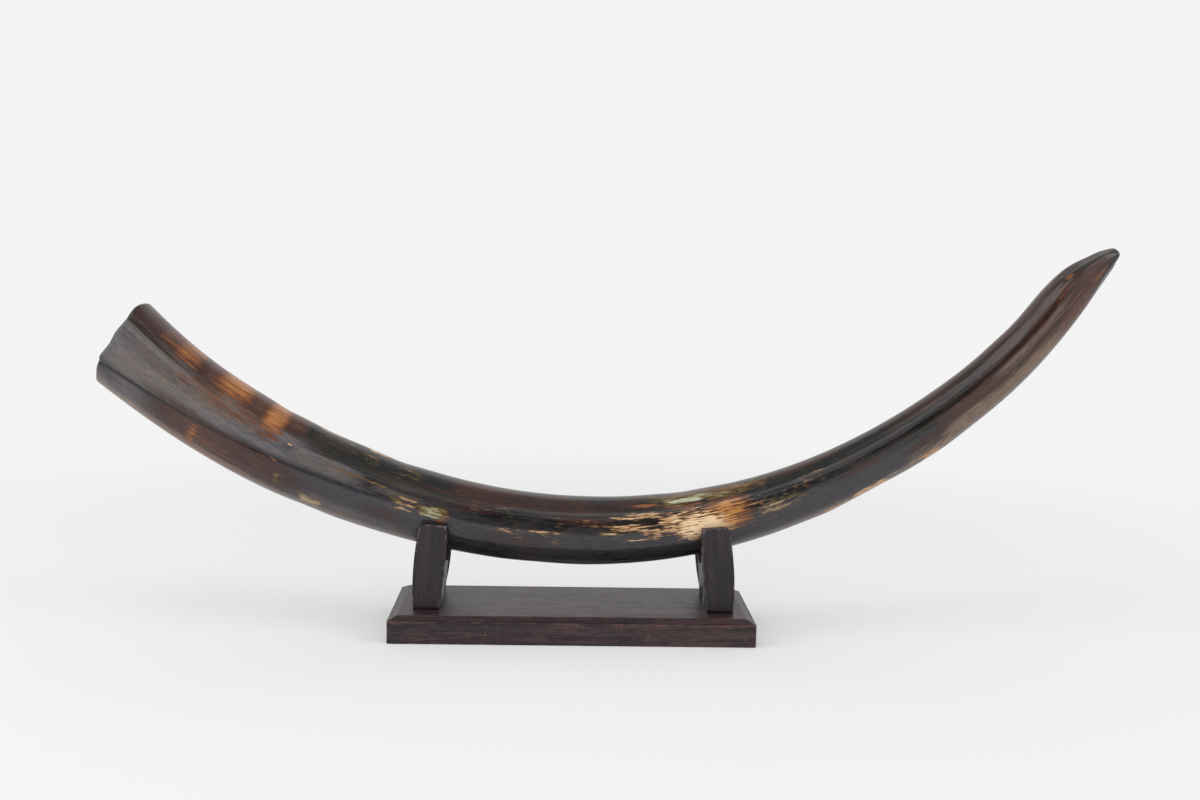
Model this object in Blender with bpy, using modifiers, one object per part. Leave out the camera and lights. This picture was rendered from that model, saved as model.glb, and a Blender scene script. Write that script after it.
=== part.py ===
"""A mammoth tusk resting in its wooden stand.

Metres, +Z up. The origin is the middle of the stand's underside. +X runs towards the tusk's tip,
and -Y is the front of the stand. The tusk lies in two notched uprights that lean towards each
other on a bevelled base board, and it can be lifted out of them.
"""

import math

import bmesh
import bpy
import numpy as np
from mathutils import Matrix, Vector

# Stand: a base board with a raised, bevelled top and two notched uprights.
BASE_LENGTH = 0.371
BASE_DEPTH = 0.152
BASE_SIDE_HEIGHT = 0.0232
BASE_LEDGE = 0.0012
BASE_BEVEL = 0.0082
BASE_RISE = 0.0042
BASE_TOP = BASE_SIDE_HEIGHT + BASE_RISE
BASE_CORNER = 0.0015
UPRIGHT_THICKNESS = 0.028
UPRIGHT_DEPTH = 0.090
UPRIGHT_HEIGHT = 0.0865
UPRIGHT_LEAN = math.radians(4.8)
UPRIGHT_SHOULDER = 0.006
UPRIGHT_EDGE = 0.0008
LEFT_INNER_X = -0.1355
RIGHT_INNER_X = 0.1385
NOTCH_HALF_ANGLE = math.radians(51)
NOTCH_SIDE_ROOM = 0.001
NOTCH_EASE = 0.005
NOTCH_REACH = 0.060
FOOT_ALLOWANCE = 0.010
GAP = 0.0003

# Tusk: places along its axis from the root to the tip, each as (x, y, z, radius).
STATIONS = (
    (-0.4850, 0.0100, 0.3075, 0.0485),
    (-0.4100, 0.0075, 0.2450, 0.0435),
    (-0.3150, 0.0045, 0.1865, 0.0413),
    (-0.2050, 0.0020, 0.1410, 0.0387),
    (-0.0850, 0.0000, 0.1115, 0.0365),
    (0.0350, -0.0005, 0.1038, 0.0354),
    (0.1550, 0.0005, 0.1197, 0.0326),
    (0.2650, 0.0030, 0.1585, 0.0289),
    (0.3600, 0.0065, 0.2125, 0.0262),
    (0.4300, 0.0100, 0.2650, 0.0249),
    (0.4750, 0.0120, 0.3095, 0.0234),
    (0.5120, 0.0135, 0.3558, 0.0226),
    (0.5290, 0.0145, 0.3745, 0.0191),
    (0.5440, 0.0150, 0.3877, 0.0138),
    (0.5557, 0.0155, 0.3965, 0.0095),
    (0.5674, 0.0160, 0.4015, 0.0030),
)
TUSK_SIDES = 48
FIRST_STEP = 0.0035
RING_STEP = 0.017
TIP_STEP = 0.006
TIP_BEGINS = 1.13
TIP_ROUNDING = 0.003

# The root's cut end: it leans, its rim is rounded, and the pulp cavity opens in it.
ROOT_CUT = 0.0235
ROOT_CUT_LEAN = 0.0085
ROOT_BLEND = 0.075
RIM_ROUNDING = 0.0035
CAVITY_DEPTH = 0.058
CAVITY_APEX = 0.004
# The cavity's width, as a share of the tusk's, at shares of its depth.
CAVITY_STEPS = ((1, 0.06), (0.66, 0.27), (0.33, 0.46), (0.06, 0.60), (0, 0.62))
# Lobes of the rim that reach further out: (angle, reach, half width).
RIM_LOBES = (
    (26, 0.0020, 17),
    (114, 0.0032, 18),
    (168, 0.0008, 20),
    (-96, 0.0035, 30),
)

# Creases along the root: (angle at the rim, angle where it dies, its length, depth, half width).
# An angle is measured round the section from its top, towards the front.
CREASES = (
    (46, 56, 0.235, 0.0024, 6.0),
    (124, 84, 0.345, 0.0026, 6.5),
    (-62, -48, 0.210, 0.0022, 8.0),
    (-141, -128, 0.280, 0.0020, 9.0),
)
# Flat bands between the creases at the root: (middle angle, half width, length, depth).
FLATS = (
    (84, 30, 0.240, 0.0022),
    (-100, 32, 0.220, 0.0020),
)
# Low swellings and hollows: (place along the tusk, angle, height, half length, half width).
SWELLS = (
    (0.207, 0, -0.0010, 0.014, 40),
    (0.300, 5, 0.0007, 0.025, 40),
    (0.268, 180, -0.0008, 0.020, 45),
    (0.345, 0, -0.0009, 0.018, 40),
    (0.505, 180, -0.0007, 0.025, 45),
    (0.655, 0, -0.0013, 0.022, 40),
    (0.800, 180, 0.0011, 0.020, 45),
    (0.862, 175, -0.0017, 0.018, 45),
    (0.938, 180, 0.0010, 0.020, 45),
    (0.620, -90, -0.0012, 0.060, 35),
    (0.930, -80, -0.0010, 0.050, 35),
)
# Wear facets at the tip: (angle, where it begins, depth where it is deepest, half width).
TIP_FACETS = (
    (62, 1.120, 0.0012, 20),
    (-60, 1.110, 0.0014, 24),
    (150, 1.150, 0.0008, 24),
)
FACET_ONSET = 0.030


def clear_scene():
    for thing in list(bpy.data.objects):
        bpy.data.objects.remove(thing)


def new_collection(name):
    found = bpy.data.collections.new(name)
    bpy.context.scene.collection.children.link(found)
    return found


def finish_material(name, colour, roughness):
    made = bpy.data.materials.new(name)
    made.use_nodes = True
    shader = made.node_tree.nodes["Principled BSDF"]
    shader.inputs["Base Color"].default_value = (*colour, 1)
    shader.inputs["Roughness"].default_value = roughness
    shader.inputs["Metallic"].default_value = 0
    return made


def add_object(name, bm, collection, material):
    mesh = bpy.data.meshes.new(name)
    bm.to_mesh(mesh)
    bm.free()
    made = bpy.data.objects.new(name, mesh)
    made.data.materials.append(material)
    collection.objects.link(made)
    return made


def smooth_curve(knots, values, places):
    """A natural cubic spline through values at knots, read at places."""
    count = len(knots)
    step = np.diff(knots)
    system = np.eye(count)
    right = np.zeros((count, values.shape[1]))
    for i in range(1, count - 1):
        system[i, i - 1 : i + 2] = step[i - 1], 2 * (step[i - 1] + step[i]), step[i]
        rise = (values[i + 1] - values[i]) / step[i]
        right[i] = 6 * (rise - (values[i] - values[i - 1]) / step[i - 1])
    bend = np.linalg.solve(system, right)
    span = np.clip(np.searchsorted(knots, places, side="right") - 1, 0, count - 2)
    width = step[span][:, None]
    b = (places[:, None] - knots[span][:, None]) / width
    a = 1 - b
    straight = a * values[span] + b * values[span + 1]
    curved = (a**3 - a) * bend[span] + (b**3 - b) * bend[span + 1]
    return straight + curved * width**2 / 6


class Axis:
    """The tusk's axis: its point, frame and radius at any distance along it."""

    def __init__(self):
        self.rows = np.array(STATIONS)
        legs = np.linalg.norm(np.diff(self.rows[:, :3], axis=0), axis=1)
        self.knots = np.concatenate([[0], np.cumsum(legs)])
        self.length = self.knots[-1]

    def at(self, place):
        """The point, the direction to the tip, the section's top and front, and the radius."""
        small = 0.0005
        near = np.clip([place, place - small, place + small], 0, self.length)
        here, before, after = smooth_curve(self.knots, self.rows, near)
        along = after[:3] - before[:3]
        along /= np.linalg.norm(along)
        front = np.array([0, -1, 0]) + along * along[1]
        front /= np.linalg.norm(front)
        top = np.cross(front, along)
        return here[:3], along, top, front, here[3]

    def at_x(self, x):
        places = np.linspace(0, self.length, 2400)
        found = smooth_curve(self.knots, self.rows, places)[:, 0]
        return float(np.interp(x, found, places))


def bump(offset, half_width):
    return np.exp(-((offset / half_width) ** 2))


def turn_between(angle, other):
    """The angle from other to angle, in degrees, from -180 to 180."""
    return (angle - other + 180) % 360 - 180


def fade(place, length):
    """1 at the root, falling smoothly to 0 at length."""
    share = np.clip(place / length, 0, 1)
    return (1 - share) ** 2 * (1 + 2 * share)


def relief(place, angle):
    """How far the surface stands off its round section."""
    height = 0.0
    for start, end, length, depth, width in CREASES:
        share = min(place / length, 1)
        middle = start + (end - start) * math.sin(share * math.pi / 2)
        strength = fade(place, length) ** 0.6
        height -= depth * strength * bump(turn_between(angle, middle), width)
    for middle, width, length, depth in FLATS:
        height -= depth * fade(place, length) * bump(turn_between(angle, middle), width)
    for at, middle, rise, length, width in SWELLS:
        height += rise * bump(place - at, length) * bump(turn_between(angle, middle), width)
    for middle, start, depth, width in TIP_FACETS:
        worn = np.clip((place - start) / FACET_ONSET, 0, 1)
        height -= depth * worn * bump(turn_between(angle, middle), width)
    return height


def root_place(angle):
    """Where the root's cut end meets the surface at an angle round the section."""
    place = ROOT_CUT - ROOT_CUT_LEAN * np.cos(np.radians(angle))
    for middle, reach, width in RIM_LOBES:
        place -= reach * bump(turn_between(angle, middle), width)
    return place


def ring_points(axis, places, angles, inset=0.0, scale=1.0):
    """One ring of surface points. Each angle may have its own place along the tusk."""
    points = []
    for place, angle in zip(places, angles):
        middle, _, top, front, radius = axis.at(place)
        reach = scale * (radius + relief(place, angle) - inset)
        turn = math.radians(angle)
        points.append(middle + reach * (math.cos(turn) * top + math.sin(turn) * front))
    return points


def tusk_rings(axis):
    """The rings from the bottom of the pulp cavity, round the rim and on to the tip."""
    angles = np.arange(TUSK_SIDES) * 360 / TUSK_SIDES
    cut = root_place(angles)
    rings = []
    for depth, scale in CAVITY_STEPS:
        rings.append(ring_points(axis, cut + depth * CAVITY_DEPTH, angles, 0, scale))
    for quarter in (0, 30, 60, 90):
        turn = math.radians(quarter)
        inset = RIM_ROUNDING * (1 - math.sin(turn))
        places = cut + RIM_ROUNDING * (1 - math.cos(turn))
        rings.append(ring_points(axis, places, angles, inset))
    start = ROOT_CUT + ROOT_CUT_LEAN + RIM_ROUNDING
    place = start + FIRST_STEP
    end = axis.length - TIP_ROUNDING
    while place < end:
        blend = np.clip((place - start) / ROOT_BLEND, 0, 1)
        rings.append(ring_points(axis, place + (cut - ROOT_CUT) * (1 - blend) ** 2, angles))
        place += RING_STEP if place < TIP_BEGINS - RING_STEP else TIP_STEP
    for quarter in (0, 35, 65):
        turn = math.radians(quarter)
        places = np.full(TUSK_SIDES, end + TIP_ROUNDING * math.sin(turn))
        rings.append(ring_points(axis, places, angles, 0, math.cos(turn)))
    return rings


def make_tusk(axis, collection, material):
    """A loft: its sections change from lobed at the root to round and then to a worn tip."""
    bm = bmesh.new()
    rings = [[bm.verts.new(point) for point in ring] for ring in tusk_rings(axis)]
    for ring, after in zip(rings, rings[1:]):
        for i in range(TUSK_SIDES):
            j = (i + 1) % TUSK_SIDES
            bm.faces.new((ring[i], ring[j], after[j], after[i]))
    cavity_end = axis.at(ROOT_CUT + CAVITY_DEPTH + CAVITY_APEX)[0]
    tip = axis.at(axis.length)[0]
    for ring, point in ((rings[0], cavity_end), (rings[-1], tip)):
        pole = bm.verts.new(point)
        for i in range(TUSK_SIDES):
            bm.faces.new((ring[i], ring[(i + 1) % TUSK_SIDES], pole))
    bmesh.ops.recalc_face_normals(bm, faces=bm.faces)
    tusk = add_object("tusk", bm, collection, material)
    tusk.data.shade_smooth()
    tusk.data.set_sharp_from_angle(angle=math.radians(50))
    return tusk


def make_base(collection, material):
    """A board whose top stands up from a narrow ledge with a bevel on all four sides."""
    bm = bmesh.new()
    size = Matrix.Diagonal((BASE_LENGTH, BASE_DEPTH, BASE_SIDE_HEIGHT, 1))
    lift = Matrix.Translation((0, 0, BASE_SIDE_HEIGHT / 2))
    bmesh.ops.create_cube(bm, size=1, matrix=lift @ size)
    upright_edges = [e for e in bm.edges if abs(e.verts[0].co.z - e.verts[1].co.z) > 0.001]
    bmesh.ops.bevel(bm, geom=upright_edges, offset=BASE_CORNER, segments=2, profile=0.5, affect="EDGES")
    top = max(bm.faces, key=lambda face: face.calc_center_median().z)
    bmesh.ops.inset_region(bm, faces=[top], thickness=BASE_LEDGE)
    bmesh.ops.inset_region(bm, faces=[top], thickness=BASE_BEVEL, depth=BASE_RISE)
    return add_object("base_board", bm, collection, material)


def upright_matrix(inner_x, side):
    """The leaning board's own frame: X out through its thickness, Z up along it."""
    lean = Matrix.Rotation(-side * UPRIGHT_LEAN, 4, "Y")
    return Matrix.Translation((inner_x, 0, BASE_TOP + GAP)) @ lean


def notch_outline(radius):
    """The notch across the tusk, as (front, up) from the tusk's axis: a V that turns upright."""
    apex = Vector((0, -(radius + GAP) / math.sin(NOTCH_HALF_ANGLE)))
    slope = Vector((math.sin(NOTCH_HALF_ANGLE), math.cos(NOTCH_HALF_ANGLE)))
    wide = radius + NOTCH_SIDE_ROOM
    corner = apex + slope * wide / slope.x
    before = corner - slope * NOTCH_EASE
    after = corner + Vector((0, NOTCH_EASE))
    eased = (before + 2 * corner + after) / 4
    half = [apex, before, eased, after, Vector((wide, NOTCH_REACH))]
    return half + [Vector((-point.x, point.y)) for point in reversed(half[1:])]


def make_notch(name, axis, middle_x, collection):
    """A cutter along the tusk's own direction, where the upright carries it."""
    place = axis.at_x(middle_x)
    middle, along, top, front, _ = axis.at(place)
    half = UPRIGHT_THICKNESS
    radius = max(axis.at(place + shift)[4] for shift in (-half / 2, half / 2))
    bm = bmesh.new()
    ends = []
    for shift in (-half, half):
        start = Vector(middle + along * shift)
        ends.append(
            [bm.verts.new(start + Vector(front * p.x + top * p.y)) for p in notch_outline(radius)]
        )
    count = len(ends[0])
    for i in range(count):
        j = (i + 1) % count
        bm.faces.new((ends[0][i], ends[0][j], ends[1][j], ends[1][i]))
    bm.faces.new(ends[0])
    bm.faces.new(list(reversed(ends[1])))
    bmesh.ops.recalc_face_normals(bm, faces=bm.faces)
    mesh = bpy.data.meshes.new(name)
    bm.to_mesh(mesh)
    bm.free()
    cutter = bpy.data.objects.new(name, mesh)
    cutter.hide_render = True
    cutter.display_type = "WIRE"
    collection.objects.link(cutter)
    return cutter


def make_upright(name, axis, inner_x, side, collection, cutters, material):
    """A leaning board, cut level where it stands, with a rounded outer shoulder and a notch."""
    frame = upright_matrix(inner_x, side)
    height = UPRIGHT_HEIGHT + FOOT_ALLOWANCE
    size = Matrix.Diagonal((UPRIGHT_THICKNESS, UPRIGHT_DEPTH, height, 1))
    place = Matrix.Translation((side * UPRIGHT_THICKNESS / 2, 0, height / 2 - FOOT_ALLOWANCE))
    bm = bmesh.new()
    bmesh.ops.create_cube(bm, size=1, matrix=place @ size)
    outer_x = side * UPRIGHT_THICKNESS
    shoulder = [
        edge
        for edge in bm.edges
        if all(abs(v.co.x - outer_x) < 1e-6 and v.co.z > UPRIGHT_HEIGHT / 2 for v in edge.verts)
    ]
    bmesh.ops.bevel(bm, geom=shoulder, offset=UPRIGHT_SHOULDER, segments=4, profile=0.5, affect="EDGES")
    bmesh.ops.transform(bm, matrix=frame, verts=bm.verts)
    foot = bmesh.ops.bisect_plane(
        bm,
        geom=bm.verts[:] + bm.edges[:] + bm.faces[:],
        plane_co=(0, 0, BASE_TOP + GAP),
        plane_no=(0, 0, 1),
        clear_inner=True,
    )
    rim = [item for item in foot["geom_cut"] if isinstance(item, bmesh.types.BMEdge)]
    bmesh.ops.contextual_create(bm, geom=rim)
    bmesh.ops.recalc_face_normals(bm, faces=bm.faces)
    upright = add_object(name, bm, collection, material)
    eased = upright.modifiers.new("eased_edges", "BEVEL")
    eased.width = UPRIGHT_EDGE
    eased.segments = 1
    eased.limit_method = "ANGLE"
    eased.angle_limit = math.radians(40)
    middle_x = inner_x + side * (UPRIGHT_THICKNESS / 2 - UPRIGHT_HEIGHT / 2 * math.sin(UPRIGHT_LEAN))
    cut = upright.modifiers.new("notch", "BOOLEAN")
    cut.operation = "DIFFERENCE"
    cut.solver = "EXACT"
    cut.object = make_notch(name + "_notch", axis, middle_x, cutters)
    return upright


def main():
    clear_scene()
    parts = new_collection("mammoth_tusk")
    cutters = new_collection("cutters")
    ivory = finish_material("fossil_ivory", (0.035, 0.028, 0.022), 0.2)
    wood = finish_material("dark_wood", (0.045, 0.032, 0.030), 0.45)
    axis = Axis()
    make_tusk(axis, parts, ivory)
    make_base(parts, wood)
    make_upright("upright_left", axis, LEFT_INNER_X, -1, parts, cutters, wood)
    make_upright("upright_right", axis, RIGHT_INNER_X, 1, parts, cutters, wood)


main()
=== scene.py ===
"""Looks of the mammoth tusk on its stand: fine meshes, procedural materials, studio and camera."""

import math

import bmesh
import bpy
import numpy as np
from mathutils import Matrix, Vector, noise


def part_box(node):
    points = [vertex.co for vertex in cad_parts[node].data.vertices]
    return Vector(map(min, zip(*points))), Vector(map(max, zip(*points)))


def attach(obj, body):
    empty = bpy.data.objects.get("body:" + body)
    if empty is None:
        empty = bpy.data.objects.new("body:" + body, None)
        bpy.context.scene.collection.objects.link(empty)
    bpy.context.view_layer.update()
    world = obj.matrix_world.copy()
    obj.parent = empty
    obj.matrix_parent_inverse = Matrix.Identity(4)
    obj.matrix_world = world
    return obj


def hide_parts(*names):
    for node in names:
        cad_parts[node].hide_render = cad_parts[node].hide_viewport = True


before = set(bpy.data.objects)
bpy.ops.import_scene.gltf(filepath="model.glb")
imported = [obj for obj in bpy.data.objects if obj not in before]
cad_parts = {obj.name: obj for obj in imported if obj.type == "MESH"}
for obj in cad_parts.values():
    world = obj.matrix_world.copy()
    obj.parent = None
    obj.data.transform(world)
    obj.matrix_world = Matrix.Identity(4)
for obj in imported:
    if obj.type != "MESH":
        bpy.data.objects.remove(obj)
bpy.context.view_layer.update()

# The photograph's camera, solved in the part's frame.
CAMERA_PLACE = Vector((-0.0181, -1.5462, 0.4032))
CAMERA_YAW = math.radians(-1.628)
CAMERA_PITCH = math.radians(6.001)
CAMERA_ROLL = math.radians(1.067)
CAMERA_LENS = 45
SENSOR_WIDTH = 36

# Tusk: places along its axis from the root to the tip, each as (x, y, z, radius), as in the part.
STATIONS = (
    (-0.4850, 0.0100, 0.3075, 0.0485),
    (-0.4100, 0.0075, 0.2450, 0.0435),
    (-0.3150, 0.0045, 0.1865, 0.0413),
    (-0.2050, 0.0020, 0.1410, 0.0387),
    (-0.0850, 0.0000, 0.1115, 0.0365),
    (0.0350, -0.0005, 0.1038, 0.0354),
    (0.1550, 0.0005, 0.1197, 0.0326),
    (0.2650, 0.0030, 0.1585, 0.0289),
    (0.3600, 0.0065, 0.2125, 0.0262),
    (0.4300, 0.0100, 0.2650, 0.0249),
    (0.4750, 0.0120, 0.3095, 0.0234),
    (0.5120, 0.0135, 0.3558, 0.0226),
    (0.5290, 0.0145, 0.3745, 0.0191),
    (0.5440, 0.0150, 0.3877, 0.0138),
    (0.5557, 0.0155, 0.3965, 0.0095),
    (0.5674, 0.0160, 0.4015, 0.0030),
)
TUSK_SIDES = 160
# The creases on the front get finer steps round the section.
FINE_ANGLES = (34, 128)
FINE_TURN = 1.45
AXIS_SAMPLES = 2400
RING_STEP = 0.0022
TIP_ROUNDING = 0.003

# The root's cut end: it leans, its rim is rounded, and the pulp cavity opens in it.
ROOT_CUT = 0.0235
ROOT_CUT_LEAN = 0.0085
ROOT_BLEND = 0.075
RIM_ROUNDING = 0.0035
CAVITY_RIM = 0.62
CAVITY_TAPER = 0.93
CAVITY_POWER = 1.15
CAVITY_DEPTH = 0.058
CAVITY_APEX = 0.004
CAVITY_RINGS = 26
# The cut face between the cavity and the outside: the widths of its rings, and its share of pulp.
CUT_WIDTHS = (0.66, 0.72, 0.79, 0.86, 0.92)
CUT_PULP = 0.5
# Lobes of the rim that reach further out: (angle, reach, half width). The one at 72 degrees is
# too small for the solids.
RIM_LOBES = (
    (26, 0.0020, 17),
    (114, 0.0032, 18),
    (168, 0.0008, 20),
    (72, 0.0012, 11),
    (-96, 0.0035, 30),
)

# Creases along the root: (angle at the rim, angle where it dies, its length, depth, half width).
# An angle is measured round the section from its top, towards the front. The first crease is
# shorter and shallower than the solid's.
CREASES = (
    (46, 50, 0.135, 0.0019, 6.0),
    (124, 84, 0.345, 0.0026, 6.5),
    (-62, -48, 0.210, 0.0022, 8.0),
    (-141, -128, 0.280, 0.0020, 9.0),
)
# A thin line goes on from the first crease: (angle at the rim, angle where it dies, its length).
FINE_LINES = ((46, 57, 0.380),)
FINE_SHARE = 0.42
# Flat bands between the creases at the root: (middle angle, half width, length, depth).
FLATS = (
    (84, 30, 0.240, 0.0022),
    (-100, 32, 0.220, 0.0020),
)
# Low swellings and hollows: (place along the tusk, angle, height, half length, half width).
# There are more of them than in the solids, and one is shallower.
SWELLS = (
    (0.207, 0, -0.0010, 0.014, 40),
    (0.300, 5, 0.0007, 0.025, 40),
    (0.268, 180, -0.0008, 0.020, 45),
    (0.345, 0, -0.0009, 0.018, 40),
    (0.505, 180, -0.0007, 0.025, 45),
    (0.655, 0, -0.0013, 0.022, 40),
    (0.800, 180, 0.0011, 0.020, 45),
    (0.862, 175, -0.0004, 0.018, 45),
    (0.905, 165, 0.0022, 0.050, 50),
    (0.938, 180, 0.0006, 0.020, 45),
    (0.165, 8, 0.0022, 0.100, 38),
    (0.660, 0, 0.0010, 0.040, 40),
    (1.030, 165, 0.0016, 0.110, 60),
    (1.045, 0, 0.0013, 0.030, 45),
    (1.199, 0, 0.0026, 0.006, 60),
    (1.172, 175, 0.0012, 0.014, 60),
    (1.190, 175, 0.0012, 0.007, 60),
    (0.620, -90, -0.0012, 0.060, 35),
    (0.930, -80, -0.0010, 0.050, 35),
)
# Wear facets at the tip, each a flat cut: (angle, where it begins, depth where it is deepest).
TIP_FACETS = (
    (20, 1.128, 0.0013),
    (80, 1.143, 0.0014),
    (-50, 1.112, 0.0014),
    (-110, 1.135, 0.0012),
    (150, 1.150, 0.0010),
)
FACET_ONSET = 0.022
# A facet reaches round the section to where the cosine of the turn from its middle is this.
FACET_REACH = 0.3

# Fine relief that the solids leave out.
GROOVE_DEPTH = 0.0009
GROOVE_HALF_WIDTH = 2.1
WAVER = 0.00012
WAVER_LENGTHS = (0.045, 0.012, 0.012)
FIBRE_RELIEF = 0.00005
FIBRE_LENGTHS = (0.02, 0.0025, 0.0025)
GRAIN_RADIUS = 0.036

# Colour patches on the tusk: (place, angle, half length, half width, strength).
# Flaked places, where the pale ivory under the dark skin shows.
CREAM = (
    (0.668, 86, 0.030, 26, 0.98),
    (0.688, 88, 0.022, 20, 0.85),
    (0.650, 74, 0.030, 26, 0.68),
    (0.606, 57, 0.036, 8, 0.68),
    (0.598, 77, 0.026, 8, 0.66),
    (0.618, 89, 0.012, 11, 0.60),
    (0.602, 98, 0.011, 3, 0.58),
    (0.702, 66, 0.020, 22, 0.66),
    (0.729, 71, 0.012, 6, 0.56),
    (0.748, 87, 0.024, 9, 0.58),
    (0.745, 105, 0.005, 4, 0.60),
    (0.782, 69, 0.013, 9, 0.56),
    (0.793, 50, 0.020, 4, 0.50),
    (0.467, 89, 0.010, 5, 0.60),
    (0.511, 87, 0.024, 4, 0.66),
    (0.573, 85, 0.010, 3, 0.62),
    (0.519, 102, 0.004, 4, 0.60),
    (0.364, 77, 0.014, 2.6, 0.62),
    (0.366, 84.5, 0.015, 3.0, 0.66),
    (0.364, 92, 0.012, 3.2, 0.62),
    (0.295, 68, 0.014, 1.6, 0.46),
    (0.325, 69, 0.018, 1.8, 0.42),
    (0.314, 27, 0.008, 5, 0.46),
    (0.355, 22, 0.008, 5, 0.46),
    (0.222, 92, 0.010, 2.6, 0.58),
    (0.271, 136, 0.013, 16, 0.66),
    (0.246, 144, 0.006, 6, 0.52),
    (0.302, 144, 0.016, 7, 0.50),
    (0.846, 148, 0.024, 15, 0.90),
    (0.805, 152, 0.018, 8, 0.66),
    (0.915, 145, 0.015, 12, 0.80),
    (0.895, 138, 0.100, 6, 0.47),
    (0.320, 1, 0.014, 8, 0.84),
    (0.334, -3, 0.012, 6, 0.74),
    (0.262, -1, 0.016, 8, 0.84),
    (0.276, -5, 0.014, 6, 0.72),
    (0.231, 62, 0.0032, 3.0, 0.62),
    (0.560, -95, 0.050, 30, 0.70),
    (0.600, -80, 0.020, 22, 0.90),
    (0.300, -110, 0.030, 12, 0.55),
    (0.820, -70, 0.040, 12, 0.52),
    (0.980, -120, 0.030, 14, 0.50),
    (0.430, -150, 0.040, 10, 0.50),
)
# Where that ivory is palest, and where it is greenish.
CREAM_PALE = (
    (0.671, 87, 0.024, 22, 1.00),
    (0.655, 72, 0.020, 16, 0.60),
    (0.604, 80, 0.040, 30, 0.35),
    (0.846, 142, 0.030, 14, 0.35),
    (0.560, -95, 0.050, 30, 0.80),
    (0.231, 62, 0.0045, 5.0, 0.90),
)
MINT = (
    (0.657, 33, 0.026, 8, 1.22),
    (0.676, 29, 0.018, 7, 0.98),
    (0.664, 24, 0.050, 18, 0.62),
    (0.702, 30, 0.030, 14, 0.70),
    (0.640, 42, 0.020, 6, 0.58),
    (0.728, 22, 0.026, 22, 0.44),
    (0.392, 85, 0.016, 10, 0.95),
    (0.362, 84, 0.020, 14, 0.30),
    (0.268, 134, 0.014, 16, 0.40),
    (0.313, 28, 0.012, 12, 0.34),
    (0.357, 30, 0.016, 16, 0.34),
    (0.275, 16, 0.040, 20, 0.26),
    (0.573, 85, 0.012, 4, 0.70),
    (0.519, 102, 0.006, 5, 0.40),
    (0.310, 68, 0.034, 3, 0.60),
    (0.232, 120, 0.003, 14, 0.55),
    (0.750, 86, 0.030, 12, 0.50),
    (1.027, 103, 0.012, 6, 0.34),
    (0.520, -60, 0.030, 12, 0.60),
    (0.740, -120, 0.060, 30, 0.50),
)
# Thin orange and tan flecks on the dark skin.
FLECKS = (
    (0.745, 80, 0.045, 34, 1.00),
    (0.790, 62, 0.030, 20, 0.90),
    (0.600, 78, 0.050, 36, 0.80),
    (0.680, 56, 0.060, 16, 1.00),
    (0.500, 92, 0.070, 14, 0.82),
    (0.550, 68, 0.045, 12, 0.95),
    (0.450, 60, 0.050, 14, 0.80),
    (0.560, 100, 0.060, 14, 0.78),
    (0.340, 74, 0.060, 14, 0.70),
    (0.300, 22, 0.060, 22, 0.50),
    (0.350, 26, 0.040, 24, 0.62),
    (0.270, 138, 0.060, 18, 0.60),
    (0.860, 132, 0.080, 14, 0.60),
    (0.150, 66, 0.070, 16, 0.45),
    (0.560, -90, 0.160, 50, 0.60),
)
# Orange growth bands, and the orange spots and lines at the tip.
BANDS = (
    (0.700, 74, 0.024, 30, 0.78),
    (0.402, 90, 0.007, 8, 0.62),
    (0.846, 148, 0.028, 16, 0.15),
    (0.614, 38, 0.016, 5, 0.62),
    (0.712, 22, 0.022, 8, 0.62),
    (0.655, 47, 0.022, 4, 0.60),
    (0.090, 14, 0.019, 31, 0.76),
    (0.072, 18, 0.020, 24, 0.40),
    (0.1505, 14, 0.0215, 33, 1.02),
    (0.2050, 20, 0.0130, 46, 1.05),
    (0.105, 57, 0.012, 14, 0.22),
    (0.155, 57, 0.045, 12, 0.30),
    (0.206, 60, 0.014, 10, 0.36),
    (0.151, -30, 0.018, 24, 0.70),
    (0.095, -30, 0.018, 26, 0.55),
    (0.1395, 121, 0.0048, 17, 0.72),
    (0.150, 148, 0.070, 9, 0.36),
    (0.160, 124, 0.030, 7, 0.30),
    (1.129, 67, 0.014, 2.6, 0.66),
    (1.131, 54, 0.009, 2.4, 0.48),
    (1.143, 44, 0.004, 7, 0.60),
    (1.135, 97, 0.030, 2.4, 0.62),
    (1.166, 108, 0.014, 6, 0.60),
    (0.120, -110, 0.018, 16, 0.45),
)
# Broad stains: slate grey, lilac grey, maroon and tan. The lilac grey is partly real stain, on the root's
# flats, and partly painted sheen and highlight, along the underside and at the tip.
SLATE = (
    (0.330, 112, 0.150, 50, 0.90),
    (0.560, 112, 0.180, 42, 0.70),
    (0.790, 118, 0.160, 38, 0.85),
    (0.330, 66, 0.050, 12, 0.28),
    (0.780, 74, 0.140, 18, 0.48),
    (0.520, 70, 0.090, 14, 0.36),
    (0.500, -120, 0.300, 50, 0.80),
)
LILAC_AND_SHEEN = (
    (0.080, 78, 0.110, 33, 1.00),
    (0.165, 66, 0.085, 23, 0.95),
    (0.265, 70, 0.050, 12, 0.80),
    (0.352, 75, 0.030, 6, 0.40),
    # Painted sheen: these rows on the underside stand for the floor's reflection.
    (0.110, 132, 0.110, 26, 0.62),
    (0.290, 132, 0.100, 18, 0.42),
    (0.090, 156, 0.120, 20, 0.60),
    (0.290, 157, 0.110, 22, 0.85),
    (0.530, 160, 0.140, 24, 0.46),
    (0.760, 158, 0.090, 24, 0.72),
    (0.930, 160, 0.110, 24, 0.92),
    (1.070, 155, 0.100, 22, 1.05),
    (0.060, -90, 0.120, 50, 0.80),
    # Painted highlight: these rows at the tip stand for its highlight band.
    (1.175, 20, 0.030, 34, 0.42),
    (1.176, 72, 0.023, 15, 0.92),
)
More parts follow.
